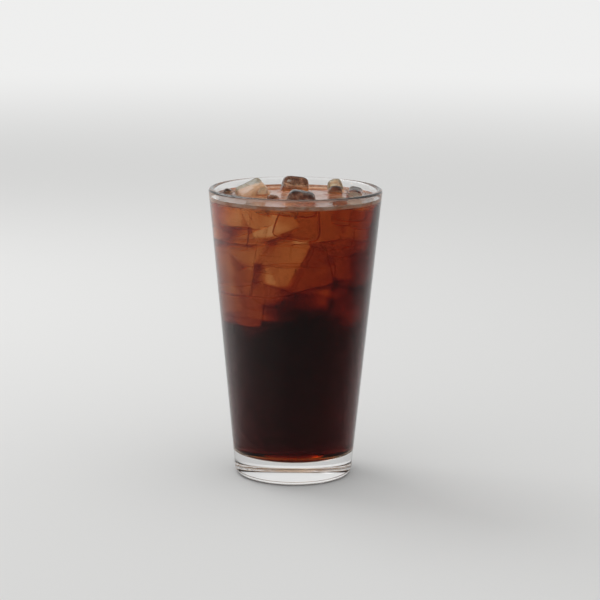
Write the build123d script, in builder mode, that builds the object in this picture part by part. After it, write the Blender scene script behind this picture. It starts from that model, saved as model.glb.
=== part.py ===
"""Cold brew coffee in a straight-sided pint tumbler, with the ice that stands out of it.

Frame: millimetres, +Z up, the origin at the middle of the foot, where the glass rests.
"""

from build123d import *

import math
import os
from dataclasses import dataclass

os.makedirs("parts", exist_ok=True)

# Glass: a drafted, thick-bottomed tumbler
glass_height = 149.5
rim_diameter = 89.3  # to the corner, before its rounding
foot_diameter = 60.4  # where the side, carried straight down, meets the table
rim_wall = 3.0
floor_wall = 4.3
base_thickness = 12.0
foot_round = 3.2
floor_round = 4.5
rim_round_share = 0.48  # of the rim's wall, on each edge of the rim

# Coffee
freeboard = 5.3  # from the top of the rim down to the coffee
fill_clearance = 0.1  # between coffee and glass

# Ice that stands out of the coffee
cubes_across = 3  # whole cubes side by side across the glass
ice_wall_gap = 0.6
ice_round = 2.4
ice_round_limit = 0.25  # of a block's shortest side
ice_uneven = 0.13  # share by which a cube's corners are drawn in

half_rim = rim_diameter / 2
half_foot = foot_diameter / 2
coffee_level = glass_height - freeboard


def outer_radius(z):
    """Radius of the glass's outside at height z."""
    return half_foot + (half_rim - half_foot) * z / glass_height


floor_radius = outer_radius(base_thickness) - floor_wall
mouth_radius = half_rim - rim_wall


def inner_radius(z):
    """Radius of the glass's inside at height z, over the floor."""
    share = (z - base_thickness) / (glass_height - base_thickness)
    return floor_radius + (mouth_radius - floor_radius) * share


# One cube's edge follows from the room inside the glass, one edge below the coffee's level.
# The room narrows by the inside's slope on the way down, so the edge is solved for.
inner_slope = (mouth_radius - floor_radius) / (glass_height - base_thickness)
ice_edge = 2 * (inner_radius(coffee_level) - ice_wall_gap) / (cubes_across + 2 * inner_slope)


@dataclass(frozen=True)
class Block:
    """A block of ice: its lengths are in cube edges, its angles in degrees."""

    label: str
    bearing: float  # of its middle, seen from above, from +X towards +Y
    out: float  # share of the way from the glass's axis to where it would meet the wall
    spans: tuple  # width, depth and height
    rise: float  # how far its highest point stands out of the coffee
    turn: float  # about the vertical
    tilts: tuple  # about X and about Y
    draft: float  # of its sides


ice_blocks = (
    Block("ice_left_peak", 153.4, 0.95, (0.80, 0.76, 0.86), 0.36, 24, (27, -16), 6),
    Block("ice_back", 92.8, 0.79, (0.74, 0.58, 0.66), 0.34, 8, (-10, 8), 8),
    Block("ice_front", -83.4, 0.78, (0.92, 0.74, 0.92), 0.31, -6, (6, 9), 11),
    Block("ice_chip_middle", -156.9, 0.37, (0.36, 0.28, 0.34), 0.12, 30, (14, 18), 6),
    Block("ice_chip_left", 158.1, 1.00, (0.19, 0.34, 0.26), 0.13, -22, (-8, 6), 6),
    Block("ice_right", 33.5, 0.71, (0.50, 0.44, 0.62), 0.20, 12, (-8, 9), 9),
    Block("ice_right_back", 51.6, 1.00, (0.42, 0.38, 0.52), 0.27, 38, (8, -9), 6),
    Block("ice_right_wall", -6.8, 0.90, (0.50, 0.68, 0.74), 0.27, -6, (9, 10), 7),
    Block("ice_right_front", -49.3, 0.94, (0.44, 0.34, 0.48), 0.13, 41, (-6, 7), 7),
)


def uneven(index, corner):
    """Share of its full reach that one corner of one block keeps."""
    return 1 - ice_uneven * (0.5 + 0.5 * math.sin(2.4 * index + 1.9 * corner))


def make_cube(index, block):
    """One uneven, drafted, rounded block of ice, turned and tilted about its own middle."""
    width, depth, tall = (span * ice_edge for span in block.spans)
    signs = ((-1, -1), (1, -1), (1, 1), (-1, 1))
    reach = [uneven(index, corner) / 2 for corner in range(len(signs))]
    corners = [(sx * width * r, sy * depth * r) for (sx, sy), r in zip(signs, reach)]
    seat = Plane.XY.rotated((*block.tilts, block.turn)).offset(-tall / 2)
    with BuildPart() as cube:
        with BuildSketch(seat):
            with BuildLine():
                Polyline(*corners, close=True)
            make_face()
        extrude(amount=tall, taper=block.draft)
        fillet(cube.edges(), radius=min(ice_round, ice_round_limit * min(width, depth, tall)))
    return cube.part


def float_cube(cube, block):
    """The cube at its place in the coffee, clear of the wall at the height of its own foot."""
    lift = coffee_level + block.rise * ice_edge - cube.bounding_box().max.Z
    facing = cube.rotate(Axis.Z, -block.bearing).bounding_box()
    wall = inner_radius(lift + facing.min.Z) - ice_wall_gap
    half_breadth = max(facing.max.Y, -facing.min.Y)
    room = math.sqrt(wall**2 - half_breadth**2) - facing.max.X
    bearing = math.radians(block.bearing)
    placed = Pos(
        block.out * room * math.cos(bearing), block.out * room * math.sin(bearing), lift
    ) * cube
    placed.label = block.label
    return placed


# The glass: one revolved section, rounded at the rim, at the foot and inside at the floor
with BuildPart() as glass:
    with BuildSketch(Plane.XZ) as glass_section:
        with BuildLine():
            Polyline(
                (0, 0),
                (half_foot, 0),
                (half_rim, glass_height),
                (mouth_radius, glass_height),
                (floor_radius, base_thickness),
                (0, base_thickness),
                close=True,
            )
        make_face()
        corner_points = glass_section.vertices()
        fillet(corner_points.group_by(Axis.Y)[-1], radius=rim_round_share * rim_wall)
        foot_corner = glass_section.vertices().group_by(Axis.Y)[0].sort_by(Axis.X)[-1]
        fillet(foot_corner, radius=foot_round)
        floor_corners = [
            v for v in glass_section.vertices()
            if abs(v.Y - base_thickness) < fill_clearance and v.X > fill_clearance
        ]
        fillet(floor_corners, radius=floor_round)
    revolve(axis=Axis.Z)
glass.part.label = "glass"
export_step(glass.part, "parts/glass.step")

ice = [float_cube(make_cube(index, block), block) for index, block in enumerate(ice_blocks)]
for block in ice:
    export_step(block, f"parts/{block.label}.step")

# The coffee: all the room up to its level, less the ice that stands in it
coffee_floor = base_thickness + fill_clearance
with BuildPart() as coffee:
    with BuildSketch(Plane.XZ) as coffee_section:
        with BuildLine():
            Polyline(
                (0, coffee_floor),
                (inner_radius(coffee_floor) - fill_clearance, coffee_floor),
                (inner_radius(coffee_level) - fill_clearance, coffee_level),
                (0, coffee_level),
                close=True,
            )
        make_face()
        coffee_corner = coffee_section.vertices().group_by(Axis.Y)[0].sort_by(Axis.X)[-1]
        fillet(coffee_corner, radius=floor_round - fill_clearance)
    revolve(axis=Axis.Z)
    for block in ice:
        add(block, mode=Mode.SUBTRACT)
coffee.part.label = "coffee"
export_step(coffee.part, "parts/coffee.step")
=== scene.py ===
"""Looks of an iced cold brew in its tumbler: the glass, the coffee, the ice and a plain studio.

Units are metres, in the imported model's own frame: +Z up, the middle of the foot at the origin,
+X to the right of the side that is seen first and +Y away from it.

Every boundary between two clear stuffs is one surface with their ratio of refractive indices:
the glass's inside is split where the coffee wets it, and the coffee's skin carries its surface
and the walls of its hollows round the ice. Where one piece only reaches into another, its own
skin has an index of one and bends nothing. The coffee's colour is a closed body just under
that skin, so that it has one finish all over and takes its light by depth alone.

Geometry nodes turn the glass and the coffee from their sections, melt the ice and scatter the
bubbles. The sunk ice is set out chunk by chunk, and each chunk is cut to fit the earlier ones.
"""

import logging
import math
from dataclasses import dataclass, replace
from enum import IntEnum

import bmesh
import bpy
import numpy as np
from mathutils import Matrix, Vector
from mathutils.bvhtree import BVHTree


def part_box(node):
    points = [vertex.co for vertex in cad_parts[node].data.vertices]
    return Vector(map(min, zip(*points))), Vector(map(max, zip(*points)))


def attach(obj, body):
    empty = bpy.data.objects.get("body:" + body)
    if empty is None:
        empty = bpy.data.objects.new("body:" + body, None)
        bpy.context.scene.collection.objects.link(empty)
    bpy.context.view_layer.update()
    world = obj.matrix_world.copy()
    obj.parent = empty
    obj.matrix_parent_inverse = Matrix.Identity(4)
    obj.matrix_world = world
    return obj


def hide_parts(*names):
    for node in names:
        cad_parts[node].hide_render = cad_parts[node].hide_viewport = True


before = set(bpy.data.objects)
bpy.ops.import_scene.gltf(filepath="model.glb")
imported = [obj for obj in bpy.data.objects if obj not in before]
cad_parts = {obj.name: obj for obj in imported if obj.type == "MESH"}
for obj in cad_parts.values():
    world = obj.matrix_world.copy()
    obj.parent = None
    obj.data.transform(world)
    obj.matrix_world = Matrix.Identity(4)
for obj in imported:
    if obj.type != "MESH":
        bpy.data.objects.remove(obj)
log = logging.getLogger("cold_brew")

MM = 0.001
BODY = "root"
STANDING_PREFIX = "ice_"
PAINTED_BROWN_ATTRIBUTE = "painted_brown"  # the attribute that says how much painted brown lies on a piece, standing in for the coffee seen through the ice
WELD = 1e-6  # points nearer than this are one
CAD_WELD = 1e-7

Point2 = tuple[float, float]
Colour = tuple[float, float, float]


class Index:
    """Refractive indices of the clear stuffs."""

    GLASS = 1.50
    COFFEE = 1.335
    ICE = 1.31
    SUNK_ICE = 1.328  # with the melt water that clings to it
    BUBBLE = 1.25  # a thin wet skin with air inside
    MATCHED = 1.0  # a skin that lies inside another stuff


class CoffeeFace(IntEnum):
    """Material slots of the coffee: which stuff lies beyond a face."""

    WALL = 0
    AIR = 1
    ICE = 2
    EDGE = 3


class GlassFace(IntEnum):
    """Material slots of the glass."""

    DRY = 0
    WET = 1


class IceFace(IntEnum):
    """Material slots of the ice."""

    DRY = 0
    WET = 1
    CLOUDY = 2


# ---------------------------------------------------------------------------------------------
# Node helpers
# ---------------------------------------------------------------------------------------------


class Tree:
    """A thin wrapper round a node tree, so that a graph reads from its source to its output."""

    def __init__(self, tree: bpy.types.NodeTree) -> None:
        """Wraps a tree.

        Args:
            tree: the shader or geometry node tree to add nodes to.
        """
        self.tree = tree

    def add(self, kind: str, settings: dict | None = None, **inputs: object) -> bpy.types.Node:
        """Adds one node.

        Args:
            kind: the node's type name.
            settings: the node's own properties.
            inputs: plain values or output sockets, by input name with underscores for spaces.

        Returns:
            The new node.
        """
        node = self.tree.nodes.new(kind)
        for name, value in (settings or {}).items():
            setattr(node, name, value)
        for name, value in inputs.items():
            self.feed(node, name.replace("_", " "), value)
        return node

    def feed(self, node: bpy.types.Node, name: str | int, value: object) -> None:
        """Sets or links one input.

        Args:
            node: the node that takes the value.
            name: the input's name, or its place where several share a name.
            value: a plain value, or the output socket to link.
        """
        socket = node.inputs[name]
        if isinstance(value, bpy.types.NodeSocket):
            self.tree.links.new(value, socket)
        else:
            socket.default_value = value

    def maths(self, operation: str, *values: object) -> bpy.types.NodeSocket:
        """A Math node's result, from plain values or sockets."""
        node = self.tree.nodes.new("ShaderNodeMath")
        node.operation = operation
        for place, value in enumerate(values):
            self.feed(node, place, value)
        return node.outputs[0]

    def span(
        self, value: object, low: float, high: float, to_low: float, to_high: float
    ) -> bpy.types.NodeSocket:
        """A value carried smoothly from one range to another.

        Args:
            value: the value or socket to carry over.
            low: start of its range.
            high: end of its range.
            to_low: result at the start.
            to_high: result at the end.

        Returns:
            The result's socket.
        """
        node = self.tree.nodes.new("ShaderNodeMapRange")
        node.interpolation_type = "SMOOTHSTEP"
        for name, number in (
            ("Value", value),
            ("From Min", low),
            ("From Max", high),
            ("To Min", to_low),
            ("To Max", to_high),
        ):
            self.feed(node, name, number)
        return node.outputs["Result"]

    def mix(
        self, share: object, first: object, second: object, colours: bool = False
    ) -> bpy.types.NodeSocket:
        """Two values, or two colours, blended.

        Args:
            share: how much of the second there is.
            first: the one that is left where the share is nothing.
            second: the other.
            colours: whether they are colours.

        Returns:
            The result's socket.
        """
        node = self.add("ShaderNodeMix", {"data_type": "RGBA" if colours else "FLOAT"})
        # by place, because the sockets of every type share their names
        first_place, second_place, result = (6, 7, 2) if colours else (2, 3, 0)
        for place, value in ((0, share), (first_place, first), (second_place, second)):
            self.feed(node, place, value)
        return node.outputs[result]

    def put_out(
        self, name: str, shape: bpy.types.NodeSocket, finish: bpy.types.NodeSocket
    ) -> None:
        """Ends a geometry tree with a real mesh in one finish.

        Args:
            name: the output's name.
            shape: the geometry.
            finish: the material.
        """
        plain = self.add("GeometryNodeRealizeInstances", Geometry=shape)
        dressed = self.add(
            "GeometryNodeSetMaterial", Geometry=plain.outputs["Geometry"], Material=finish
        )
        self.feed(self.add("NodeGroupOutput"), name, dressed.outputs["Geometry"])


def geometry_group(name: str, takes: str, gives: str, **values: float) -> bpy.types.NodeTree:
    """An empty geometry group: a shape, some values and a finish go in, and a shape comes out.

    Args:
        name: the group's name.
        takes: name of the shape that goes in.
        gives: name of the shape that comes out.
        values: each value's default, by name with underscores for spaces. A whole number makes
            a socket for whole numbers.

    Returns:
        The group.
    """
    group = bpy.data.node_groups.new(name, "GeometryNodeTree")
    face = group.interface
    face.new_socket(takes, in_out="INPUT", socket_type="NodeSocketGeometry")
    for label, value in values.items():
        kind = "NodeSocketInt" if isinstance(value, int) else "NodeSocketFloat"
        socket = face.new_socket(label.replace("_", " "), in_out="INPUT", socket_type=kind)
        socket.default_value = value
    face.new_socket("Finish", in_out="INPUT", socket_type="NodeSocketMaterial")
    face.new_socket(gives, in_out="OUTPUT", socket_type="NodeSocketGeometry")
    return group


def shader_group(
    name: str, inputs: tuple[tuple[str, float, float, float], ...], outputs: tuple[str, ...]
) -> bpy.types.NodeTree:
    """An empty shader group with its sockets.

    Args:
        name: the group's name.
        inputs: name, least, most and default value of each input.
        outputs: name of each output.

    Returns:
        The group.
    """
    group = bpy.data.node_groups.new(name, "ShaderNodeTree")
    for label, low, high, value in inputs:
        socket = group.interface.new_socket(label, in_out="INPUT", socket_type="NodeSocketFloat")
        socket.min_value, socket.max_value, socket.default_value = low, high, value
    for label in outputs:
        group.interface.new_socket(label, in_out="OUTPUT", socket_type="NodeSocketFloat")
    return group


def surface_group() -> bpy.types.NodeTree:
    """The waves and smears that every clear surface shares.

    Returns:
        A shader group with inputs for the sizes of its waves and smears, and outputs for a
        bump height and a roughness.
    """
    group = shader_group(
        "clear_surface",
        (
            ("Wave Size", 1.0, 4000.0, 60.0),
            ("Grain Size", 1.0, 9000.0, 900.0),
            ("Grain Share", 0.0, 1.0, 0.15),
            ("Smear Size", 1.0, 4000.0, 45.0),
            ("Smeared", 0.0, 1.0, 0.05),
        ),
        ("Height", "Roughness"),
    )
    t = Tree(group)
    given = t.add("NodeGroupInput").outputs
    place = t.add("ShaderNodeTexCoord").outputs["Object"]
    wave = t.add("ShaderNodeTexNoise", Vector=place, Scale=given["Wave Size"], Detail=1.0)
    grain = t.add("ShaderNodeTexNoise", Vector=place, Scale=given["Grain Size"], Detail=2.0)
    smear = t.add("ShaderNodeTexNoise", Vector=place, Scale=given["Smear Size"], Detail=3.0)
    fine = t.maths("MULTIPLY", grain.outputs["Fac"], given["Grain Share"])
    height = t.maths("ADD", wave.outputs["Fac"], fine)
    bare, full = 0.45, 0.75  # where the smears begin and are full, in their noise
    patch = t.span(smear.outputs["Fac"], bare, full, 0.0, 1.0)
    rough = t.maths("MULTIPLY", patch, given["Smeared"])
    t.add("NodeGroupOutput", Height=height, Roughness=rough)
    return group


def patch_group() -> bpy.types.NodeTree:
    """The patches in which a second colour lies: painted brown and cream on the standing ice, a
    painted tan glow on the coffee's top and foam at its edge.

    Returns:
        A shader group with inputs for the patches' size, fineness and edges, and one output for
        how thick the film is.
    """
    group = shader_group(
        "film_patches",
        (
            ("Size", 1.0, 4000.0, 260.0),
            ("Fineness", 0.0, 15.0, 3.0),
            ("Bare Below", 0.0, 1.0, 0.35),
            ("Full Above", 0.0, 1.0, 0.65),
            ("Thinnest", 0.0, 1.0, 0.0),
        ),
        ("Share",),
    )
    t = Tree(group)
    given = t.add("NodeGroupInput").outputs
    place = t.add("ShaderNodeTexCoord").outputs["Object"]
    patch = t.add(
        "ShaderNodeTexNoise", Vector=place, Scale=given["Size"], Detail=given["Fineness"]
    )
    share = t.span(
        patch.outputs["Fac"], given["Bare Below"], given["Full Above"], given["Thinnest"], 1.0
    )
    t.add("NodeGroupOutput", Share=share)
    return group


@dataclass(frozen=True)
class Shared:
    """The node groups that the finishes draw on."""

    surface: bpy.types.NodeTree
    patches: bpy.types.NodeTree


@dataclass(frozen=True)
class Film:
    """A second colour that lies over a clear face in patches."""

    colour: Colour
    size: float = 260.0
    fineness: float = 4.0
    full_above: float = 0.65
    thinnest: float = 0.0
    on_painted_brown: bool = False  # only where the piece's painted brown attribute brings it up

    def share(self, t: Tree, shared: Shared) -> bpy.types.NodeSocket:
        """How much of the film lies at a place.

        Args:
            t: the material's tree.
            shared: the shared groups.

        Returns:
            The share's socket.
        """
        patches = t.add("ShaderNodeGroup", {"node_tree": shared.patches})
        for name, value in (
            ("Size", self.size),
            ("Fineness", self.fineness),
            ("Full Above", self.full_above),
            ("Thinnest", self.thinnest),
        ):
            t.feed(patches, name, value)
        if not self.on_painted_brown:
            return patches.outputs["Share"]
        brown_share = t.add("ShaderNodeAttribute", {"attribute_name": PAINTED_BROWN_ATTRIBUTE}).outputs["Fac"]
        return t.maths("MULTIPLY", brown_share, patches.outputs["Share"])


@dataclass(frozen=True)
class ClearFinish:
    """A clear stuff: its colour, its index, how wavy and smeared its face is and what it takes
    out of the light on the way through."""

    name: str
    index: float
    tint: Colour = (1.0, 1.0, 1.0)
    wave_size: float = 60.0
    grain_size: float = 900.0
    grain_share: float = 0.15
    bump: float = 0.0  # depth of the waves, in metres
    smeared: float = 0.0  # roughness where it is smeared
    clear_share: float = 1.0  # of the light that crosses; the rest is scattered
    film: Film | None = None
    absorbed: Colour | None = None  # per metre, for each of the three colours

    def make(self, shared: Shared) -> bpy.types.Material:
        """Builds the material.

        Args:
            shared: the shared groups.

        Returns:
            The material.
        """
        material = bpy.data.materials.new(self.name)
        material.use_nodes = True
        material.node_tree.nodes.clear()
        t = Tree(material.node_tree)
        skin = t.add(
            "ShaderNodeBsdfPrincipled", Base_Color=(*self.tint, 1.0), Metallic=0.0,
            Roughness=0.0, IOR=self.index, Transmission_Weight=self.clear_share,
        )
        if self.film:
            share = self.film.share(t, shared)
            colours = ((*self.tint, 1.0), (*self.film.colour, 1.0))
            t.feed(skin, "Base Color", t.mix(share, *colours, colours=True))
        if self.bump or self.smeared:
            self.add_relief(t, skin, shared)
        out = t.add("ShaderNodeOutputMaterial", Surface=skin.outputs["BSDF"])
        if self.absorbed:
            density = max(self.absorbed) / DEEPEST
            colour = tuple(1.0 - part / density for part in self.absorbed)
            fog = t.add("ShaderNodeVolumeAbsorption", Color=(*colour, 1.0), Density=density)
            t.feed(out, "Volume", fog.outputs["Volume"])
        return material

    def add_relief(self, t: Tree, skin: bpy.types.Node, shared: Shared) -> None:
        """Gives a skin its waves, grain and smears.

        Args:
            t: the material's tree.
            skin: the shader that takes them.
            shared: the shared groups.
        """
        surface = t.add("ShaderNodeGroup", {"node_tree": shared.surface})
        for name, value in (
            ("Wave Size", self.wave_size),
            ("Grain Size", self.grain_size),
            ("Grain Share", self.grain_share),
            ("Smeared", self.smeared),
        ):
            t.feed(surface, name, value)
        if self.smeared:
            t.feed(skin, "Roughness", surface.outputs["Roughness"])
        if self.bump:
            relief = t.add("ShaderNodeBump", Height=surface.outputs["Height"], Strength=1.0)
            t.feed(relief, "Distance", self.bump)
            t.feed(skin, "Normal", relief.outputs["Normal"])


DEEPEST = 0.98  # the most that a fog's colour takes from one of the three colours
COLD_BREW_ABSORBED: Colour = (76.0, 195.0, 330.0)
GLASS_WAVES = {"wave_size": 34.0, "grain_share": 0.0, "bump": 0.05 * MM}
ICE_RELIEF = {"wave_size": 320.0, "grain_size": 1500.0, "bump": 0.12 * MM}

FINISHES = (
    ClearFinish("glass_dry", Index.GLASS, smeared=0.012, **GLASS_WAVES),
    ClearFinish("glass_wet", Index.GLASS / Index.COFFEE, **GLASS_WAVES),
    ClearFinish("coffee_wall", Index.MATCHED),
    # painted glow: the tan share that scatters and its darker tan patches stand in for the warm
    # light that comes up through the ice and the thin coffee
    ClearFinish(
        "coffee_top", Index.COFFEE, (1.0, 0.60, 0.42), wave_size=90.0, grain_share=0.0,
        bump=0.05 * MM, smeared=0.02, clear_share=0.80, film=Film((0.75, 0.34, 0.18)),
    ),
    ClearFinish(
        "coffee_edge", Index.MATCHED, (1.0, 0.70, 0.52), clear_share=0.35,
        film=Film((0.80, 0.34, 0.18), size=190.0),
    ),
    ClearFinish("coffee_hollow", Index.COFFEE / Index.SUNK_ICE),
    ClearFinish("coffee_body", Index.MATCHED, absorbed=COLD_BREW_ABSORBED),
    # painted: the cream tint and the dark brown film, which grows up from the coffee's line, stand
    # in for the coffee and the warm light seen through the standing ice
    ClearFinish(
        "ice_dry", Index.ICE, (0.99, 0.93, 0.80), smeared=0.10, clear_share=0.96,
        film=Film((0.12, 0.035, 0.012), fineness=3.0, full_above=0.6, thinnest=0.45, on_painted_brown=True),
        **ICE_RELIEF,
    ),
    # painted: the cream tint and yellow patches stand in for the warm light and highlights that
    # the standing ice shows
    ClearFinish(
        "ice_pale", Index.ICE, (1.0, 0.95, 0.80), smeared=0.12, clear_share=0.74,
        film=Film((1.0, 0.80, 0.48), size=150.0), **ICE_RELIEF,
    ),
    ClearFinish("ice_wet", Index.MATCHED, (0.995, 0.995, 0.99)),
    ClearFinish("ice_cloudy", Index.MATCHED, (0.93, 0.90, 0.86), clear_share=0.6),
    ClearFinish("bubble", Index.BUBBLE, (0.98, 0.92, 0.86), clear_share=0.9),
)


# ---------------------------------------------------------------------------------------------
# Mesh helpers
# ---------------------------------------------------------------------------------------------


def new_object(name: str, mesh: bpy.types.Mesh) -> bpy.types.Object:
    """A linked object at the origin that holds a mesh."""
    made = bpy.data.objects.new(name, mesh)
    bpy.context.scene.collection.objects.link(made)
    return made


def settle(made: bpy.types.Object) -> bpy.types.Object:
    """Turns an object's modifiers into plain mesh.

    Args:
        made: the object, whose modifiers are removed.

    Returns:
        The same object.
    """
    graph = bpy.context.evaluated_depsgraph_get()
    graph.update()
    mesh = bpy.data.meshes.new_from_object(made.evaluated_get(graph))
    old = made.data
    made.modifiers.clear()
    made.data = mesh
    mesh.name = made.name
    if old.users == 0:
        bpy.data.meshes.remove(old)
    return made


def drop(*unwanted: bpy.types.Object) -> None:
    """Removes helper objects with their meshes."""
    for each in unwanted:
        mesh = each.data
        bpy.data.objects.remove(each)
        if mesh.users == 0:
            bpy.data.meshes.remove(mesh)


def face_data(mesh: bpy.types.Mesh) -> tuple[np.ndarray, np.ndarray]:
    """Middles and normals of a mesh's faces.

    Args:
        mesh: the mesh to read.

    Returns:
        Two arrays of three numbers for each face.
    """
    middles = np.zeros(len(mesh.polygons) * 3)
    normals = np.zeros(len(mesh.polygons) * 3)
    mesh.polygons.foreach_get("center", middles)
    mesh.polygons.foreach_get("normal", normals)
    return middles.reshape(-1, 3), normals.reshape(-1, 3)


def set_slots(mesh: bpy.types.Mesh, slots: np.ndarray, finishes: list[bpy.types.Material]) -> None:
    """Gives each face its material, smooths all and keeps the lines between materials sharp.

    Args:
        mesh: the mesh to dress.
        slots: the material slot of each face.
        finishes: the materials, in slot order.
    """
    mesh.materials.clear()
    for finish in finishes:
        mesh.materials.append(finish)
    mesh.polygons.foreach_set("material_index", slots.astype(np.int32))
    mesh.polygons.foreach_set("use_smooth", np.ones(len(mesh.polygons), bool))
    mesh.update()


def keep_sharp(mesh: bpy.types.Mesh, corner: float) -> None:
    """Marks the edges between two materials, and those past a corner's angle, as sharp."""
    shape = bmesh.new()
    shape.from_mesh(mesh)
    for edge in shape.edges:
        faces = edge.link_faces
        split = len(faces) == 2 and (
            faces[0].material_index != faces[1].material_index
            or faces[0].normal.angle(faces[1].normal, 0.0) > corner
        )
        edge.smooth = not split
    shape.to_mesh(mesh)
    shape.free()
    mesh.update()


def revolve_tree(segments: int, sweep: float) -> bpy.types.NodeTree:
    """Geometry nodes that turn an open section round the axis and close its two ends.

    The object's own mesh is the section: a line of edges in which X is the radius less the
    sweep's radius and Y is the depth, because a swept section's Y axis points down.

    Args:
        segments: faces round the axis.
        sweep: radius of the circle that carries the section.

    Returns:
        The node group.
    """
    group = geometry_group(
        "revolve_section", "Section", "Solid", Segments=segments, Sweep_Radius=sweep
    )
    t = Tree(group)
    given = t.add("NodeGroupInput").outputs
    circle = t.add("GeometryNodeCurvePrimitiveCircle", Resolution=given["Segments"])
    t.feed(circle, "Radius", given["Sweep Radius"])
    wire = t.add("GeometryNodeMeshToCurve", Mesh=given["Section"])
    swept = t.add("GeometryNodeCurveToMesh", Curve=circle.outputs["Curve"])
    t.feed(swept, "Profile Curve", wire.outputs["Curve"])
    closed = t.add("GeometryNodeMergeByDistance", Geometry=swept.outputs["Mesh"], Distance=WELD)
    t.put_out("Solid", closed.outputs["Geometry"], given["Finish"])
    return group


def use_tree(made: bpy.types.Object, group: bpy.types.NodeTree, **inputs: object) -> None:
    """Puts a geometry node group on an object and sets its inputs by their identifiers.

    Args:
        made: the object to carry the modifier.
        group: the node group.
        inputs: the inputs' values, by name with underscores for spaces.
    """
    modifier = made.modifiers.new(group.name, "NODES")
    modifier.node_group = group
    names = {item.name: item.identifier for item in group.interface.items_tree
             if item.item_type == "SOCKET" and item.in_out == "INPUT"}
    for name, value in inputs.items():
        modifier[names[name.replace("_", " ")]] = value


def revolve(
    name: str, section: list[Point2], segments: int, finish: bpy.types.Material
) -> bpy.types.Object:
    """A closed solid of revolution.

    Args:
        name: the object's name.
        section: radius and height of each point, from the axis round to the axis again.
        segments: faces round the axis.
        finish: the material that it starts with.

    Returns:
        The object, with its faces pointing outwards.
    """
    sweep = max(radius for radius, _ in section)
    points = [(radius - sweep, -height, 0.0) for radius, height in section]
    mesh = bpy.data.meshes.new(name)
    mesh.from_pydata(points, [(k, k + 1) for k in range(len(points) - 1)], [])
    made = new_object(name, mesh)
    use_tree(
        made, revolve_tree(segments, sweep),
        Segments=segments, Sweep_Radius=sweep, Finish=finish,
    )
    settle(made)
    shape = bmesh.new()
    shape.from_mesh(made.data)
    bmesh.ops.recalc_face_normals(shape, faces=shape.faces)
    if shape.calc_volume(signed=True) < 0:
        bmesh.ops.reverse_faces(shape, faces=shape.faces)
    shape.to_mesh(made.data)
    shape.free()
    return made


def arc(corner: Point2, before: Point2, after: Point2, radius: float, steps: int) -> list[Point2]:
    """Points of the round that replaces a corner of a section.

    Args:
        corner: the corner's point.
        before: the point that the outline comes from.
        after: the point that it goes on to.
        radius: radius of the round.
        steps: how many pieces the round has.

    Returns:
        The round's points, in the outline's order.
    """
    at = Vector(corner)
    u = (Vector(before) - at).normalized()
    v = (Vector(after) - at).normalized()
    half = u.angle(v) / 2
    middle = at + (u + v).normalized() * radius / math.sin(half)
    start = at + u * radius / math.tan(half) - middle
    end = at + v * radius / math.tan(half) - middle
    turn = start.angle_signed(end)
    made = []
    for k in range(steps + 1):
        angle = math.atan2(start.y, start.x) - turn * k / steps
        made.append((middle.x + radius * math.cos(angle), middle.y + radius * math.sin(angle)))
    return made


def line(start: Point2, end: Point2, step: float) -> list[Point2]:
    """Points along a straight stretch, without its two ends."""
    count = max(1, round(math.dist(start, end) / step))
    return [
        (start[0] + (end[0] - start[0]) * k / count, start[1] + (end[1] - start[1]) * k / count)
        for k in range(1, count)
    ]


# ---------------------------------------------------------------------------------------------
# Glass
# ---------------------------------------------------------------------------------------------


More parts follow.
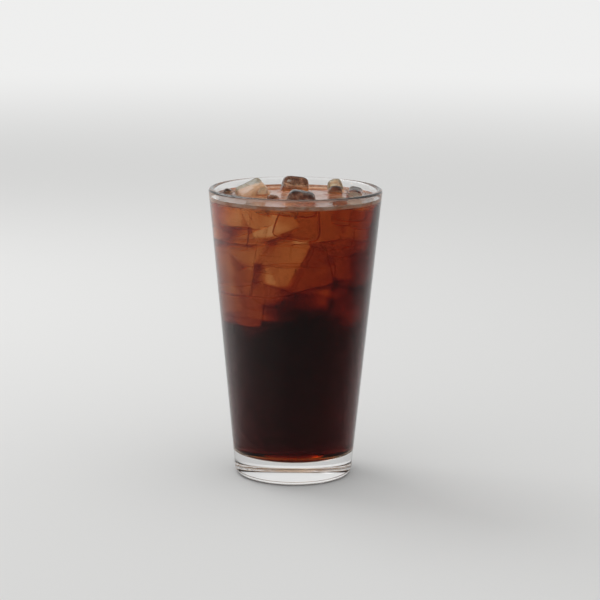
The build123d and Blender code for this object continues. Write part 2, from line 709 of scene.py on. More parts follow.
@dataclass
class Tumbler:
    """The drafted, thick-bottomed tumbler."""

    height: float
    rim_radius: float  # at the corner, before its rounding
    foot_radius: float = 30.2 * MM
    rim_wall: float = 3.0 * MM
    floor_wall: float = 4.3 * MM
    base: float = 12.0 * MM
    foot_round: float = 3.2 * MM
    floor_round: float = 4.5 * MM
    floor_dish: float = 2.0 * MM  # that the middle of the floor lies under its edge
    rim_round: float = 1.44 * MM
    segments: int = 224
    foot_steps: int = 10
    rim_steps: int = 8
    floor_steps: int = 12
    dish_steps: int = 8
    wall_step: float = 6.0 * MM

    def outer(self, z: float) -> float:
        """Radius of the outside at a height."""
        return self.foot_radius + (self.rim_radius - self.foot_radius) * z / self.height

    def inner(self, z: float) -> float:
        """Radius of the inside at a height over the floor."""
        low = self.outer(self.base) - self.floor_wall
        high = self.rim_radius - self.rim_wall
        return low + (high - low) * (z - self.base) / (self.height - self.base)

    def bowl(self, above: Point2, bite: float) -> list[Point2]:
        """The rounded edge of the floor and its shallow dish.

        Args:
            above: a point further up the wall.
            bite: how far the outline lies inside the glass.

        Returns:
            Radius and height of each point, from the wall to the middle.
        """
        low = self.base - bite
        edge = (self.inner(low) + bite, low)
        slope = 2 * self.floor_dish / edge[0]
        tangent = (0.0, low - slope * edge[0])
        points = arc(edge, above, tangent, self.floor_round, self.floor_steps)
        radius, height = points[-1]
        for k in range(1, self.dish_steps + 1):
            ring = radius * (1 - k / self.dish_steps)
            points.append((ring, height - slope * (radius**2 - ring**2) / (2 * radius)))
        return points

    def section(self, contact: float) -> list[Point2]:
        """The outline from the foot's middle round to the floor's middle.

        Args:
            contact: the height at which the coffee's edge meets the wall.

        Returns:
            Radius and height of each point.
        """
        foot = (self.foot_radius, 0.0)
        rim_out = (self.rim_radius, self.height)
        rim_in = (self.rim_radius - self.rim_wall, self.height)
        floor = (self.inner(self.base), self.base)
        start = (0.0, 0.0)
        step = self.wall_step
        rounds = [
            arc(foot, start, rim_out, self.foot_round, self.foot_steps),
            arc(rim_out, foot, rim_in, self.rim_round, self.rim_steps),
            arc(rim_in, rim_out, floor, self.rim_round, self.rim_steps),
            self.bowl(rim_in, 0.0),
        ]
        edge = (self.inner(contact), contact)
        outline = [start, *line(start, rounds[0][0], step), *rounds[0]]
        outline += [*line(rounds[0][-1], rounds[1][0], step), *rounds[1], *rounds[2]]
        outline += [*line(rounds[2][-1], edge, step), edge]
        outline += [*line(edge, rounds[3][0], step), *rounds[3]]
        return outline

    def build(self, contact: float, finishes: dict[str, bpy.types.Material]) -> bpy.types.Object:
        """Makes the glass, with the part of its inside that the coffee wets as its own slot.

        Args:
            contact: the height at which the coffee's edge meets the wall.
            finishes: the materials by name.

        Returns:
            The glass.
        """
        made = revolve("tumbler", self.section(contact), self.segments, finishes["glass_dry"])
        middles, _ = face_data(made.data)
        radius = np.hypot(middles[:, 0], middles[:, 1])
        halfway = np.array([(self.outer(z) + self.inner(max(z, self.base))) / 2
                            for z in middles[:, 2]])
        under_dish = self.base - 1.5 * self.floor_dish  # still well above the foot
        inside = (radius < halfway) & (middles[:, 2] > under_dish)
        wet = inside & (middles[:, 2] < contact)
        slots = np.where(wet, GlassFace.WET, GlassFace.DRY)
        set_slots(made.data, slots, [finishes["glass_dry"], finishes["glass_wet"]])
        return made


# ---------------------------------------------------------------------------------------------
# Ice
# ---------------------------------------------------------------------------------------------


def melt_tree() -> bpy.types.NodeTree:
    """Geometry nodes that melt a block: broad dips and small pits along its normals.

    Returns:
        The node group, with its depths, sizes and seed as inputs.
    """
    group = geometry_group(
        "melt", "Block", "Melted",
        Dip_Depth=0.9 * MM, Dip_Size=95.0, Pit_Depth=0.25 * MM, Pit_Size=330.0, Seed=0.0,
    )
    noise_middle, noise_gain = 0.55, 3.0  # so that more is melted away than is left standing
    t = Tree(group)
    given = t.add("NodeGroupInput").outputs
    normal = t.add("GeometryNodeInputNormal").outputs["Normal"]
    push = None
    for depth, size in (("Dip Depth", "Dip Size"), ("Pit Depth", "Pit Size")):
        field = t.add(
            "ShaderNodeTexNoise", {"noise_dimensions": "4D"}, W=given["Seed"],
            Scale=given[size], Detail=1.0,
        )
        even = t.maths("SUBTRACT", field.outputs["Fac"], noise_middle)
        part = t.maths("MULTIPLY", t.maths("MULTIPLY", even, noise_gain), given[depth])
        push = part if push is None else t.maths("ADD", push, part)
    away = t.add("ShaderNodeVectorMath", {"operation": "SCALE"}, Vector=normal, Scale=push)
    moved = t.add("GeometryNodeSetPosition", Geometry=given["Block"])
    t.feed(moved, "Offset", away.outputs["Vector"])
    t.put_out("Melted", moved.outputs["Geometry"], given["Finish"])
    return group


def bubble_tree() -> bpy.types.NodeTree:
    """Geometry nodes that scatter small bubbles over a band of surface.

    Returns:
        The node group.
    """
    group = geometry_group(
        "bubbles", "Band", "Bubbles", Density=200000.0, Least=0.0002, Most=0.0007, Seed=3
    )
    mostly_small = 2.5
    t = Tree(group)
    given = t.add("NodeGroupInput").outputs
    spread = t.add(
        "GeometryNodeDistributePointsOnFaces", {"distribute_method": "POISSON"},
        Mesh=given["Band"], Seed=given["Seed"],
    )
    t.feed(spread, "Distance Min", given["Most"])
    t.feed(spread, "Density Max", given["Density"])
    ball = t.add("GeometryNodeMeshIcoSphere", Radius=1.0, Subdivisions=2)
    draw = t.add("FunctionNodeRandomValue", {"data_type": "FLOAT"})
    t.feed(draw, "Seed", given["Seed"])
    small = t.maths("POWER", draw.outputs[1], mostly_small)
    size = t.maths("MULTIPLY_ADD", small, t.maths("SUBTRACT", given["Most"], given["Least"]),
                   given["Least"])
    placed = t.add("GeometryNodeInstanceOnPoints", Points=spread.outputs["Points"])
    t.feed(placed, "Instance", ball.outputs["Mesh"])
    t.feed(placed, "Scale", size)
    t.put_out("Bubbles", placed.outputs["Instances"], given["Finish"])
    return group


@dataclass
class Melt:
    """How a sharp block is melted: a coarse skin, rounded edges, then dips and pits."""

    grid: float = 1.3 * MM
    rounding: int = 5
    dip_depth: float = 0.75 * MM
    pit_depth: float = 0.16 * MM

    def apply(
        self, block: bpy.types.Object, group: bpy.types.NodeTree, seed: float,
        finish: bpy.types.Material,
    ) -> bpy.types.Object:
        """Melts one closed block.

        Args:
            block: the block, which is changed.
            group: the melt's geometry nodes.
            seed: moves the pattern of dips.
            finish: the material that it starts with.

        Returns:
            The same block.
        """
        skin = block.modifiers.new("skin", "REMESH")
        skin.mode = "VOXEL"
        skin.voxel_size = self.grid
        ease = block.modifiers.new("round", "SMOOTH")
        ease.factor = 0.5
        ease.iterations = self.rounding
        use_tree(
            block, group, Dip_Depth=self.dip_depth, Pit_Depth=self.pit_depth, Seed=seed,
            Finish=finish,
        )
        return settle(block)


@dataclass(frozen=True)
class Worn:
    """How far a block has melted round, how much painted brown lies on it and how clear it is."""

    rounding: int = 16
    # painted brown that stands in for the coffee seen through the ice
    painted_brown: float = 0.12
    finish: str = "ice_dry"  # of the part that stands out of the coffee


# by block: rounding, painted brown, and finish of the part out of the coffee
STANDING_LOOKS = {
    "ice_left_peak": Worn(14, 0.0, "ice_pale"),
    "ice_right_back": Worn(16, 0.0, "ice_pale"),
    "ice_front": Worn(60, 1.0),
    "ice_back": Worn(24, 0.85),
    "ice_right": Worn(40, 0.9),
    "ice_chip_middle": Worn(12, 0.9),
    "ice_chip_left": Worn(10, 1.0),
    "ice_right_front": Worn(20, 0.35),
    "ice_right_wall": Worn(20, 0.3),
}


@dataclass(frozen=True)
class Chunk:
    """A sunk piece of ice, set out before its neighbours and the glass cut it to shape."""

    bearing: float  # degrees from +X towards +Y
    out: float  # of its middle, from the axis
    depth: float  # of its middle, under the coffee's level
    spans: tuple[float, float, float]  # towards the wall, along it and upwards
    spin: float = 0.0  # degrees that it is turned out of line with the wall
    lean: float = 0.0  # degrees that its top leans away from the wall
    roll: float = 0.0  # degrees that it is rolled along the wall
    off_wall: float = 1.0 * MM  # of coffee between it and the glass

    def frame(self, level: float) -> Matrix:
        """Place, turn and size of the chunk's block.

        Args:
            level: height of the coffee.

        Returns:
            The matrix that carries a unit cube there.
        """
        bearing = math.radians(self.bearing)
        middle = Vector((
            self.out * math.cos(bearing), self.out * math.sin(bearing), level - self.depth,
        ))
        turn = (
            Matrix.Rotation(bearing + math.radians(self.spin), 3, "Z")
            @ Matrix.Rotation(-math.radians(self.lean), 3, "Y")
            @ Matrix.Rotation(math.radians(self.roll), 3, "X")
        )
        return Matrix.LocRotScale(middle, turn, Vector(self.spans))


SUNK = (
    # the upper layer, against the near wall
    Chunk(-112, 26 * MM, 4 * MM, (24 * MM, 23 * MM, 23 * MM), 2, 6, 27, 0.9 * MM),
    Chunk(-146, 27 * MM, 4 * MM, (24 * MM, 18 * MM, 16 * MM), 0, 6, 6, 0.7 * MM),
    Chunk(-178, 29 * MM, 12 * MM, (22 * MM, 18 * MM, 22 * MM), -10, 6, 12, 0.7 * MM),
    Chunk(-71, 26 * MM, 7 * MM, (24 * MM, 24 * MM, 22 * MM), -4, 6, 5, 4.5 * MM),
    Chunk(-27, 27 * MM, 9 * MM, (22 * MM, 24 * MM, 20 * MM), 8, 8, -14, 3.0 * MM),
    # its middle and its far side
    Chunk(-110, 2 * MM, 16 * MM, (27 * MM, 27 * MM, 32 * MM), 44, 0, 0),
    Chunk(160, 26 * MM, 11 * MM, (26 * MM, 24 * MM, 22 * MM), 6, 4, 6, 1.2 * MM),
    Chunk(122, 26 * MM, 11 * MM, (27 * MM, 28 * MM, 22 * MM), 10, 2, -6, 5.5 * MM),
    Chunk(76, 24 * MM, 12 * MM, (27 * MM, 28 * MM, 24 * MM), -6, 3, 6, 10 * MM),
    Chunk(26, 24 * MM, 13 * MM, (27 * MM, 28 * MM, 26 * MM), 8, 4, 6, 10 * MM),
    # the second layer
    Chunk(-134, 25 * MM, 22 * MM, (22 * MM, 20 * MM, 18 * MM), 4, 8, -30, 0.7 * MM),
    Chunk(-166, 27 * MM, 32 * MM, (22 * MM, 20 * MM, 18 * MM), 10, 8, 20, 0.7 * MM),
    Chunk(-90, 22 * MM, 29.5 * MM, (24 * MM, 30 * MM, 28 * MM), 6, 8, 15, 9.0 * MM),
    Chunk(-44, 24 * MM, 27 * MM, (22 * MM, 22 * MM, 20 * MM), -6, 8, -12, 7.0 * MM),
    Chunk(-8, 25 * MM, 32 * MM, (22 * MM, 20 * MM, 24 * MM), -6, 10, 16, 3.5 * MM),
    Chunk(80, 2 * MM, 42 * MM, (26 * MM, 28 * MM, 24 * MM), 20, 4, 8),
    Chunk(97, 27 * MM, 34 * MM, (24 * MM, 11 * MM, 25 * MM), 0, 4, 18, 2.5 * MM),
    Chunk(60, 23 * MM, 35 * MM, (24 * MM, 22 * MM, 30 * MM), 6, 4, 8, 11 * MM),
    Chunk(168, 27 * MM, 36 * MM, (22 * MM, 24 * MM, 26 * MM), 4, 4, 8, 1.2 * MM),
    Chunk(130, 22 * MM, 35 * MM, (24 * MM, 20 * MM, 31 * MM), 14, 4, 8, 7 * MM),
    # the lowest, which thin out
    Chunk(-128, 24 * MM, 41 * MM, (22 * MM, 20 * MM, 20 * MM), 10, 10, 22, 5.0 * MM),
    Chunk(-162, 26 * MM, 49 * MM, (22 * MM, 20 * MM, 18 * MM), 8, 8, 16, 0.8 * MM),
    Chunk(166, 24 * MM, 55 * MM, (24 * MM, 24 * MM, 20 * MM), 8, 6, 10, 2.0 * MM),
    Chunk(140, 14 * MM, 54 * MM, (26 * MM, 26 * MM, 17 * MM), 10, 4, 6, 9.0 * MM),
    Chunk(-50, 21 * MM, 50 * MM, (20 * MM, 20 * MM, 15 * MM), 10, 14, -18, 5.0 * MM),
    Chunk(-142, 22 * MM, 58 * MM, (19 * MM, 18 * MM, 17 * MM), 14, 12, 30, 3.0 * MM),
    Chunk(-14, 23 * MM, 56 * MM, (17 * MM, 19 * MM, 18 * MM), -6, 12, 24, 5.0 * MM),
)


@dataclass
class IceBed:
    """The sunk ice, whose first chunks keep their shape while later ones fit round them."""

    tumbler: Tumbler
    level: float
    chunks: tuple[Chunk, ...] = SUNK
    gap: float = 0.25 * MM  # between two chunks
    film: float = 0.5 * MM  # of coffee between a chunk and a standing block
    skin_film: float = 0.04 * MM  # between a chunk and its hollow, so that their faces part
    cover: float = 0.7 * MM  # of coffee over the highest
    cloudy_depth: float = 5.0 * MM  # down to which a chunk's upper faces are cloudy
    least_faces: int = 80  # of a chunk, once it is cut; anything smaller is dropped
    wall_facets: int = 6  # to each side of a chunk's middle
    facet_turn: float = 13.0  # degrees between two of them

    def wall_planes(self, chunk: Chunk) -> list[tuple[Vector, Vector]]:
        """Planes that keep a chunk off the glass and under the surface.

        Args:
            chunk: the chunk to keep in.

        Returns:
            A point and an outward normal for each plane.
        """
        middle = chunk.frame(self.level).translation
        rise = 10 * MM
        slope = (self.tumbler.inner(rise) - self.tumbler.inner(0.0)) / rise
        bearing = math.atan2(middle.y, middle.x)
        planes = []
        for k in range(-self.wall_facets, self.wall_facets + 1):
            angle = bearing + math.radians(self.facet_turn * k)
            ray = Vector((math.cos(angle), math.sin(angle), 0.0))
            point = ray * (self.tumbler.inner(middle.z) - chunk.off_wall)
            point.z = middle.z
            planes.append((point, Vector((ray.x, ray.y, -slope)).normalized()))
        planes.append((Vector((0, 0, self.level - self.cover)), Vector((0, 0, 1))))
        return planes

    def cut(self, index: int) -> bpy.types.Object:
        """Cuts one chunk free of the wall and the surface.

        Args:
            index: which chunk.

        Returns:
            The chunk as a sharp, convex block.
        """
        chunk = self.chunks[index]
        planes = self.wall_planes(chunk)
        shape = bmesh.new()
        bmesh.ops.create_cube(shape, size=1.0, matrix=chunk.frame(self.level))
        for point, normal in planes:
            parts = [*shape.verts, *shape.edges, *shape.faces]
            cut = bmesh.ops.bisect_plane(
                shape, geom=parts, plane_co=point, plane_no=normal, clear_outer=True
            )
            loose = [e for e in cut["geom_cut"] if isinstance(e, bmesh.types.BMEdge)]
            if loose:
                bmesh.ops.edgeloop_fill(shape, edges=loose)
        bmesh.ops.recalc_face_normals(shape, faces=shape.faces)
        mesh = bpy.data.meshes.new(f"chunk_{index:02d}")
        shape.to_mesh(mesh)
        shape.free()
        return new_object(mesh.name, mesh)


def grown(block: bpy.types.Object, by: float) -> bpy.types.Object:
    """A copy of a block with its skin moved out.

    Args:
        block: the block to copy.
        by: how far its skin moves.

    Returns:
        The copy.
    """
    made = new_object(f"{block.name}_grown", block.data.copy())
    normals = [corner.normal.copy() for corner in block.data.vertices]
    for corner, normal in zip(made.data.vertices, normals):
        corner.co += normal * by
    return made


def carve(block: bpy.types.Object, tool: bpy.types.Object) -> None:
    """Takes a closed tool's shape out of a closed block, and keeps the tool."""
    hollow = block.modifiers.new("carve", "BOOLEAN")
    hollow.operation = "DIFFERENCE"
    hollow.solver = "MANIFOLD"
    hollow.object = tool
    settle(block)


def drop_slivers(mesh: bpy.types.Mesh) -> None:
    """Takes out the pairs of faces that a cut leaves back to back on the same corners."""
    shape = bmesh.new()
    shape.from_mesh(mesh)
    seen: dict[frozenset, list[bmesh.types.BMFace]] = {}
    for face in shape.faces:
        seen.setdefault(frozenset(corner.index for corner in face.verts), []).append(face)
    paired = [face for group in seen.values() if len(group) > 1 for face in group]
    if paired:
        bmesh.ops.delete(shape, geom=paired, context="FACES")
        shape.to_mesh(mesh)
        mesh.update()
    shape.free()


def drop_crumbs(mesh: bpy.types.Mesh, least_faces: int) -> None:
    """Takes out the loose bits that a cut leaves beside a piece.

    Args:
        mesh: the mesh to clear.
        least_faces: a bit with fewer faces than this goes.
    """
    shape = bmesh.new()
    shape.from_mesh(mesh)
    waiting = set(shape.faces)
    crumbs = []
    while waiting:
        bit, border = set(), [waiting.pop()]
        while border:
            face = border.pop()
            bit.add(face)
            fresh = {other for edge in face.edges for other in edge.link_faces} & waiting
            waiting -= fresh
            border += fresh
        if len(bit) < least_faces:
            crumbs += bit
    if crumbs:
        bmesh.ops.delete(shape, geom=crumbs, context="FACES")
        shape.to_mesh(mesh)
        mesh.update()
    shape.free()


def cad_copy(node: str) -> bpy.types.Object:
    """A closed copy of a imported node, with its loose triangles merged."""
    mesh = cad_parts[node].data.copy()
    shape = bmesh.new()
    shape.from_mesh(mesh)
    bmesh.ops.remove_doubles(shape, verts=shape.verts, dist=CAD_WELD)
    shape.to_mesh(mesh)
    shape.free()
    return new_object(f"{node}_copy", mesh)


def bvh_of(made: bpy.types.Object) -> BVHTree:
    """A search tree of an object's faces."""
    shape = bmesh.new()
    shape.from_mesh(made.data)
    tree = BVHTree.FromBMesh(shape)
    shape.free()
    return tree


def join(name: str, members: list[bpy.types.Object]) -> bpy.types.Object:
    """Joins objects at the origin into one new object.

    Args:
        name: the new object's name.
        members: the objects, which are removed.

    Returns:
        The joined object.
    """
    shape = bmesh.new()
    for member in members:
        shape.from_mesh(member.data)
    mesh = bpy.data.meshes.new(name)
    shape.to_mesh(mesh)
    shape.free()
    drop(*members)
    return new_object(name, mesh)


# ---------------------------------------------------------------------------------------------
# Coffee
# ---------------------------------------------------------------------------------------------


@dataclass
class CoffeeFill:
    """The coffee, which creeps up the wall and round the ice that stands in it."""

    tumbler: Tumbler
    level: float
    bite: float = 0.09 * MM  # how far its skin reaches into the wall
    under: float = 0.03 * MM  # how far its body lies under the skin
    creep: float = 1.5 * MM  # rise at the wall
    creep_reach: float = 1.3 * MM
    ice_creep: float = 0.7 * MM
    ring_step: float = 1.0 * MM
    edge_depth: float = 0.3 * MM  # down to which fine foam clings to the wall
    bubble_band: tuple[float, float] = (0.5 * MM, 2.2 * MM)  # from the wall
    bubble_lift: float = 0.1 * MM
    segments: int = 192
    wall_step: float = 5.0 * MM
    foam_step: float = 0.5 * MM
    first_ring: float = 0.25 * MM
    ring_growth: float = 1.25
    last_ring: float = 0.5 * MM  # the least radius that gets one
    top_margin: float = 0.01 * MM  # under the level, down to which a face is the surface's
    top_slope: float = 0.15  # the least upward share of such a face's normal
    corner: float = math.radians(50)  # past which the skin keeps an edge sharp

    @property
    def contact(self) -> float:
        """Height at which the coffee's edge meets the wall."""
        return self.level + self.creep

    def top_height(self, radius: float) -> float:
        """Height of the still surface at a radius."""
        away = max(0.0, self.tumbler.inner(self.level) - radius)
        return self.level + self.creep * math.exp(-away / self.creep_reach)

    def section(self) -> list[Point2]:
        """The outline from the middle of the bottom round to the middle of the surface.

        Returns:
            Radius and height of each point.
        """
        t = self.tumbler
        edge_radius = t.inner(self.contact) + self.bite
        top = (edge_radius, self.contact)
        bowl = t.bowl(top, self.bite)[::-1]
        low_edge = self.level - self.edge_depth
        foam_foot = (t.inner(low_edge) + self.bite, low_edge)
        outline = [*bowl, *line(bowl[-1], foam_foot, self.wall_step), foam_foot]
        outline += [*line(foam_foot, top, self.foam_step), top]
        # close rings where the surface creeps up the wall, wider ones over the rest
        radius = t.inner(self.level)
        step = self.first_ring
        while radius > self.last_ring:
            outline.append((radius, self.top_height(radius)))
            radius -= step
            step = min(self.ring_step, step * self.ring_growth)
        outline.append((0.0, self.level))
        return outline

    def build_skin(
        self, cutter: bpy.types.Object, standing: list[BVHTree],
        finishes: dict[str, bpy.types.Material],
    ) -> bpy.types.Object:
        """Makes the coffee's skin, with a hollow for every piece of ice.

        Args:
            cutter: all the ice in one closed mesh, which is removed.
            standing: the blocks that stand out of the surface.
            finishes: the materials by name.

        Returns:
            The skin.
        """
        names = ("coffee_wall", "coffee_top", "coffee_hollow", "coffee_edge")
        stuffs = [finishes[name] for name in names]
        made = revolve("cold_brew_skin", self.section(), self.segments, stuffs[CoffeeFace.WALL])
        top_floor = self.level - self.top_margin
        for corner in made.data.vertices:
            near_top = corner.co.z > top_floor
            inside = math.hypot(corner.co.x, corner.co.y) < self.tumbler.inner(self.level)
            if near_top and inside:
                reach = min(tree.find_nearest(corner.co)[3] for tree in standing)
                corner.co.z += self.ice_creep * math.exp(-reach / self.creep_reach)
        made.data.update()
        middles, normals = face_data(made.data)
        top = (middles[:, 2] > top_floor) & (normals[:, 2] > self.top_slope)
        edge = middles[:, 2] > self.level - self.edge_depth
        slots = np.where(top, CoffeeFace.AIR, np.where(edge, CoffeeFace.EDGE, CoffeeFace.WALL))
        set_slots(made.data, slots, stuffs)
        set_slots(cutter.data, np.full(len(cutter.data.polygons), CoffeeFace.ICE), stuffs)
        carve(made, cutter)
        drop(cutter)
        keep_sharp(made.data, self.corner)
        return made

    def build_bubbles(self, finish: bpy.types.Material) -> bpy.types.Object:
        """Makes the small bubbles that gather where the surface meets the wall.

        Args:
            finish: their material.

        Returns:
            All the bubbles as one object.
        """
        wall = self.tumbler.inner(self.level)
        shape = bmesh.new()
        rings = []
        for away in self.bubble_band:
            radius = wall - away
            height = self.top_height(radius) + self.bubble_lift
            rings.append([
                shape.verts.new((radius * math.cos(a), radius * math.sin(a), height))
                for a in (2 * math.pi * k / self.segments for k in range(self.segments))
            ])
        for k in range(self.segments):
            after = (k + 1) % self.segments
            shape.faces.new((rings[0][k], rings[0][after], rings[1][after], rings[1][k]))
        mesh = bpy.data.meshes.new("bubbles")
        shape.to_mesh(mesh)
        shape.free()
        made = new_object(mesh.name, mesh)
        use_tree(made, bubble_tree(), Finish=finish)
        settle(made)
        set_slots(made.data, np.zeros(len(made.data.polygons)), [finish])
        return made

    def build_body(
        self, skin: bpy.types.Object, finishes: dict[str, bpy.types.Material]
    ) -> bpy.types.Object:
        """Makes the coloured body that lies just under the skin.

        Args:
            skin: the finished skin.
            finishes: the materials by name.

        Returns:
            The body.
        """
        body = new_object("cold_brew", skin.data.copy())
        normals = [corner.normal.copy() for corner in skin.data.vertices]
        for corner, normal in zip(body.data.vertices, normals):
            corner.co -= normal * self.under
        set_slots(body.data, np.zeros(len(body.data.polygons)), [finishes["coffee_body"]])
        return body


# ---------------------------------------------------------------------------------------------
# The drink
# ---------------------------------------------------------------------------------------------


class Drink:
    """The whole object: it builds each piece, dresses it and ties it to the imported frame."""

    RIM_CORNER = 0.15 * MM  # that the rim's rounding takes off its radius
    STANDING_MELT = Melt(grid=0.6 * MM, dip_depth=0.55 * MM)
    LEAST_ROUNDING = 3
    STANDING_SEEDS = 7.3  # from one block's dips to the next one's
    SUNK_SEEDS = 3.1
    FIRST_SUNK_SEED = 50.0
    MEET = 0.6  # of the coffee's rise round the ice, where the ice turns dry
    FULL_PAINTED_BROWN = 0.15  # of a block's height out of the coffee, above which its painted brown is full
    LOOKS_UP = 0.5  # the least upward share of a cloudy face's normal

    def __init__(self) -> None:
        """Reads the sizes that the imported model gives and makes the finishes."""
        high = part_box("glass")[1]
        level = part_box("coffee")[1][2]
        self.tumbler = Tumbler(height=high[2], rim_radius=high[0] + self.RIM_CORNER)
        self.fill = CoffeeFill(self.tumbler, level)
        self.bed = IceBed(self.tumbler, level)
        shared = Shared(surface_group(), patch_group())
        self.finishes = {look.name: look.make(shared) for look in FINISHES}
        self.melt = melt_tree()
        self.standing = sorted(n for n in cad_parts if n.startswith(STANDING_PREFIX))

    def report(self, made: bpy.types.Object) -> None:
        """Logs a finished piece."""
        count = sum(len(face.vertices) - 2 for face in made.data.polygons)
        log.info("%s: %d triangles", made.name, count)

    def claim(self, made: bpy.types.Object, slot: str, *nodes: str) -> None:
        """Takes out a piece's back-to-back faces, ties it to the body, hides the imported nodes
        that it stands for and logs it.
        """
        drop_slivers(made.data)
        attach(made, BODY)
        if nodes:
            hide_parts(*nodes)
        self.report(made)

    def dress_ice(self, made: bpy.types.Object, look: Worn) -> None:
        """Splits a piece of ice where the coffee's surface crosses it.

        Args:
            made: the piece.
            look: how it has worn.
        """
        middles, normals = face_data(made.data)
        line_height = self.fill.level + self.MEET * self.fill.ice_creep
        slots = np.where(middles[:, 2] < line_height, IceFace.WET, IceFace.DRY)
        near_top = middles[:, 2] > self.fill.level - self.bed.cloudy_depth
        cloudy = near_top & (normals[:, 2] > self.LOOKS_UP) & (slots == IceFace.WET)
        slots = np.where(cloudy, IceFace.CLOUDY, slots)
        names = (look.finish, "ice_wet", "ice_cloudy")
        set_slots(made.data, slots, [self.finishes[name] for name in names])
        # painted brown: none at the coffee's line, full a little higher up
        heights = np.array([corner.co.z for corner in made.data.vertices]) - line_height
        full = self.FULL_PAINTED_BROWN * max(heights.max(), MM)
        share = look.painted_brown * np.clip(heights / full, 0.0, 1.0)
        made.data.attributes.new(PAINTED_BROWN_ATTRIBUTE, "FLOAT", "POINT").data.foreach_set("value", share)

    def build_standing(self) -> tuple[list[bpy.types.Object], list[BVHTree]]:
        """Makes the blocks that stand out of the coffee.

        Returns:
            A coarse cutter for each block, and a search tree of each.
        """
        cutters, trees = [], []
        for index, node in enumerate(self.standing):
            fine = cad_copy(node)
            fine.name = f"{node}_melted"
            look = STANDING_LOOKS.get(node, Worn())
            seed = self.STANDING_SEEDS * index
            melt = replace(self.STANDING_MELT, rounding=look.rounding)
            melt.apply(fine, self.melt, seed, self.finishes["ice_dry"])
            self.dress_ice(fine, look)
            self.claim(fine, "ice", node)
            coarse = cad_copy(node)
            rounding = max(self.LEAST_ROUNDING, look.rounding // 4)
            melt = Melt(rounding=rounding, dip_depth=self.STANDING_MELT.dip_depth)
            melt.apply(coarse, self.melt, seed, self.finishes["ice_wet"])
            cutters.append(coarse)
            trees.append(bvh_of(coarse))
        return cutters, trees

    def build_chunks(self, standing: list[bpy.types.Object]) -> list[bpy.types.Object]:
        """Makes the sunk ice, carved to fit round the blocks that stand in it.

        Args:
            standing: a coarse copy of each standing block.

        Returns:
            The chunks.
        """
        room = join("standing_room", [grown(block, self.bed.film) for block in standing])
        chunks, taken = [], [room]
        for index in range(len(self.bed.chunks)):
            chunk = self.bed.cut(index)
            seed = self.SUNK_SEEDS * index + self.FIRST_SUNK_SEED
            Melt().apply(chunk, self.melt, seed, self.finishes["ice_wet"])
            whole = bvh_of(chunk)
            claimed = grown(chunk, self.bed.gap)
            for earlier in taken:
                if whole.overlap(bvh_of(earlier)):
                    carve(chunk, earlier)
            drop_crumbs(chunk.data, self.bed.least_faces)
            taken.append(claimed)
            chunks.append(chunk)
        drop(*taken)
        return chunks

    def build(self) -> None:
        """Makes every piece."""
        cutters, trees = self.build_standing()
        chunks = self.build_chunks(cutters)
        skins = [grown(chunk, -self.bed.skin_film) for chunk in chunks]
        cutter = join("ice_cutter", cutters + chunks)
        skin = self.fill.build_skin(cutter, trees, self.finishes)
        body = self.fill.build_body(skin, self.finishes)
        self.claim(skin, "coffee", "coffee")
        self.claim(body, "coffee", "coffee")
        sunk = join("sunk_ice", skins)
        self.dress_ice(sunk, Worn())
        self.claim(sunk, "ice")
        self.claim(self.fill.build_bubbles(self.finishes["bubble"]), "coffee")
        glass = self.tumbler.build(self.fill.contact, self.finishes)
        self.claim(glass, "glass", "glass")


# ---------------------------------------------------------------------------------------------
# Studio
# ---------------------------------------------------------------------------------------------


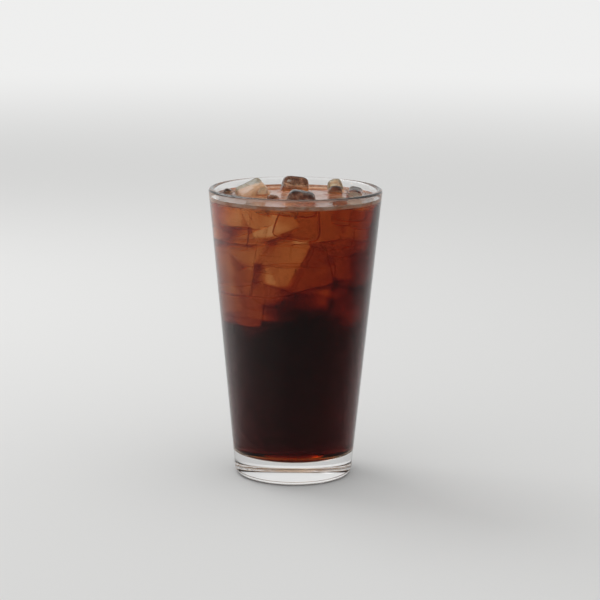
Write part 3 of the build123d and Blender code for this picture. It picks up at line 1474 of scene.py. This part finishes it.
@dataclass
class Studio:
    """A plain pale floor, a soft dome of light, one softbox and the camera."""

    pale: Colour = (0.86, 0.86, 0.855)
    floor_albedo: Colour = (0.80, 0.80, 0.795)
    floor_radius: float = 6.0
    floor_drop: float = 0.15 * MM  # the little air under the foot
    # how pale the room is in a reflection, by degrees from straight ahead of the glass; on the
    # floor this is painted shade that only reflections show
    left_room: tuple[Point2, ...] = (
        (0, 0.24), (45, 0.38), (75, 0.53), (92, 0.70), (110, 0.98), (130, 1.0), (180, 0.95),
    )
    right_room: tuple[Point2, ...] = ((0, 0.22), (85, 0.20), (112, 0.45), (140, 0.85), (180, 0.95))
    side_ease: float = 0.3  # added to the bearing, so that the two rooms meet gently
    side_blend: float = 0.2
    dome: float = 0.85  # how pale the room is overhead
    dome_rise: tuple[float, float] = (0.05, 0.6)  # upward share of a direction, from room to dome
    floor_fade: tuple[float, float] = (0.8, 2.5)  # from the middle, from paper to backdrop
    box_radiance: float = 2.5
    box_side: float = 0.6
    box_place: tuple[float, float, float] = (-0.55, 0.50, 0.80)
    box_aim: float = 0.08  # height that it points at
    camera_distance: float = 1.1
    camera_rise: float = 0.20634  # radians above the level
    camera_centre: float = 0.07486  # height that it goes round
    camera_turn: tuple[float, float, float] = (0.01446, 0.00259, 0.00894)  # pitch, yaw, roll
    camera_lens: float = 127.36
    bounces: int = 64  # for light to cross the glass, the coffee and the ice
    glossy_bounces: int = 24

    def glance(self, t: Tree, place: bpy.types.NodeSocket) -> bpy.types.NodeSocket:
        """How pale the room is in a reflection, by its bearing from the object.

        Args:
            t: the tree that the nodes go into.
            place: a position or a direction.

        Returns:
            The share's socket.
        """
        axes = t.add("ShaderNodeSeparateXYZ", Vector=place).outputs
        ahead = t.maths("MULTIPLY", axes["Y"], -1.0)
        turn = t.maths("ABSOLUTE", t.maths("ARCTAN2", axes["X"], ahead))
        share = t.maths("DIVIDE", turn, math.pi)
        sides = []
        for stops in (self.left_room, self.right_room):
            ramp = t.add("ShaderNodeValToRGB", Fac=share)
            ramp.color_ramp.interpolation = "EASE"
            elements = ramp.color_ramp.elements
            for bearing, _ in stops[1:-1]:
                elements.new(bearing / 180.0)
            for stop, (_, pale) in zip(elements, stops):
                stop.color = (pale, pale, pale, 1.0)
            sides.append(ramp.outputs["Color"])
        aside = t.maths("DIVIDE", axes["X"], t.maths("ADD", turn, self.side_ease))
        side = t.span(aside, -self.side_blend, self.side_blend, 0.0, 1.0)
        return t.mix(side, *sides)

    def build_floor(self) -> None:
        """Makes the floor."""
        shape = bmesh.new()
        bmesh.ops.create_circle(shape, cap_ends=True, radius=self.floor_radius, segments=96)
        bmesh.ops.translate(shape, verts=shape.verts, vec=(0, 0, -self.floor_drop))
        mesh = bpy.data.meshes.new("floor")
        shape.to_mesh(mesh)
        shape.free()
        floor = new_object("floor", mesh)
        material = bpy.data.materials.new("floor_paper")
        material.use_nodes = True
        material.node_tree.nodes.clear()
        t = Tree(material.node_tree)
        place = t.add("ShaderNodeTexCoord").outputs["Object"]
        ray = t.add("ShaderNodeLightPath").outputs
        share = self.glance(t, place)
        # painted shade: reflections see the floor darker in front of the glass and at its sides
        reflection_shade = t.maths("MULTIPLY_ADD", t.maths("SUBTRACT", share, 1.0), ray["Is Glossy Ray"], 1.0)
        colour = t.add("ShaderNodeVectorMath", {"operation": "SCALE"}, Scale=reflection_shade)
        t.feed(colour, 0, self.floor_albedo)
        paper = t.add("ShaderNodeBsdfDiffuse", Color=colour.outputs["Vector"])
        glow = t.add("ShaderNodeEmission", Color=(*self.pale, 1.0), Strength=1.0)
        far = t.add("ShaderNodeVectorMath", {"operation": "LENGTH"})
        t.feed(far, 0, place)
        fade = t.span(far.outputs["Value"], *self.floor_fade, 0.0, 1.0)
        mix = t.add("ShaderNodeMixShader", Fac=fade)
        t.feed(mix, 1, paper.outputs["BSDF"])
        t.feed(mix, 2, glow.outputs["Emission"])
        t.add("ShaderNodeOutputMaterial", Surface=mix.outputs["Shader"])
        mesh.materials.append(material)

    def build_world(self) -> None:
        """Makes the dome: the pale backdrop that is seen, and the light that it gives."""
        world = bpy.data.worlds.new("studio_dome")
        bpy.context.scene.world = world
        world.use_nodes = True
        world.node_tree.nodes.clear()
        t = Tree(world.node_tree)
        place = t.add("ShaderNodeTexCoord").outputs["Generated"]
        ray = t.add("ShaderNodeLightPath").outputs
        share = self.glance(t, place)
        up = t.add("ShaderNodeSeparateXYZ", Vector=place).outputs["Z"]
        lift = t.span(up, *self.dome_rise, 0.0, 1.0)
        above = t.maths("SUBTRACT", self.dome, share)
        graded = t.maths("MULTIPLY_ADD", above, lift, share)
        seen = t.maths("MAXIMUM", ray["Is Camera Ray"], ray["Is Transmission Ray"])
        lit = t.maths("MULTIPLY_ADD", seen, 1.0 - self.dome, self.dome)
        change = t.maths("SUBTRACT", graded, lit)
        strength = t.maths("MULTIPLY_ADD", change, ray["Is Glossy Ray"], lit)
        soft = t.add("ShaderNodeBackground", Color=(*self.pale, 1.0), Strength=strength)
        t.add("ShaderNodeOutputWorld", Surface=soft.outputs["Background"])

    def build_softbox(self) -> None:
        """Hangs one softbox high behind the left shoulder of the glass."""
        lamp = bpy.data.lights.new("softbox", "AREA")
        lamp.shape = "SQUARE"
        lamp.size = self.box_side
        lamp.energy = self.box_radiance * math.pi * self.box_side**2
        hung = bpy.data.objects.new("softbox", lamp)
        bpy.context.scene.collection.objects.link(hung)
        hung.location = self.box_place
        aim = Vector((0, 0, self.box_aim)) - hung.location
        hung.rotation_euler = aim.to_track_quat("-Z", "Y").to_euler()

    def build_camera(self) -> None:
        """Sets the camera in front of the glass and a little above its rim."""
        rise = self.camera_rise
        pitch, yaw, roll = self.camera_turn
        lens = bpy.data.cameras.new("camera")
        lens.sensor_width = 36.0
        lens.lens = self.camera_lens
        lens.clip_start, lens.clip_end = 0.01, 100.0
        camera = bpy.data.objects.new("camera", lens)
        bpy.context.scene.collection.objects.link(camera)
        bpy.context.scene.camera = camera
        away = Vector((0, -math.cos(rise), math.sin(rise)))
        camera.location = Vector((0, 0, self.camera_centre)) + away * self.camera_distance
        tilt = Matrix.Rotation(math.pi / 2 - (rise - pitch), 4, "X")
        turn = Matrix.Rotation(-yaw, 4, "Z") @ tilt @ Matrix.Rotation(roll, 4, "Z")
        camera.rotation_euler = turn.to_euler()

    def set_rendering(self) -> None:
        """Plain view, and enough bounces."""
        scene = bpy.context.scene
        scene.view_settings.view_transform = "Standard"
        scene.cycles.max_bounces = self.bounces
        scene.cycles.transmission_bounces = self.bounces
        scene.cycles.glossy_bounces = self.glossy_bounces

    def build(self) -> None:
        """Makes the whole studio."""
        self.build_floor()
        self.build_world()
        self.build_softbox()
        self.build_camera()
        self.set_rendering()


def main() -> None:
    """Builds the studio and the drink."""
    logging.basicConfig(level=logging.INFO, format="%(name)s %(message)s")
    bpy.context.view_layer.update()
    Studio().build()
    Drink().build()


if __name__ == "__main__":
    main()
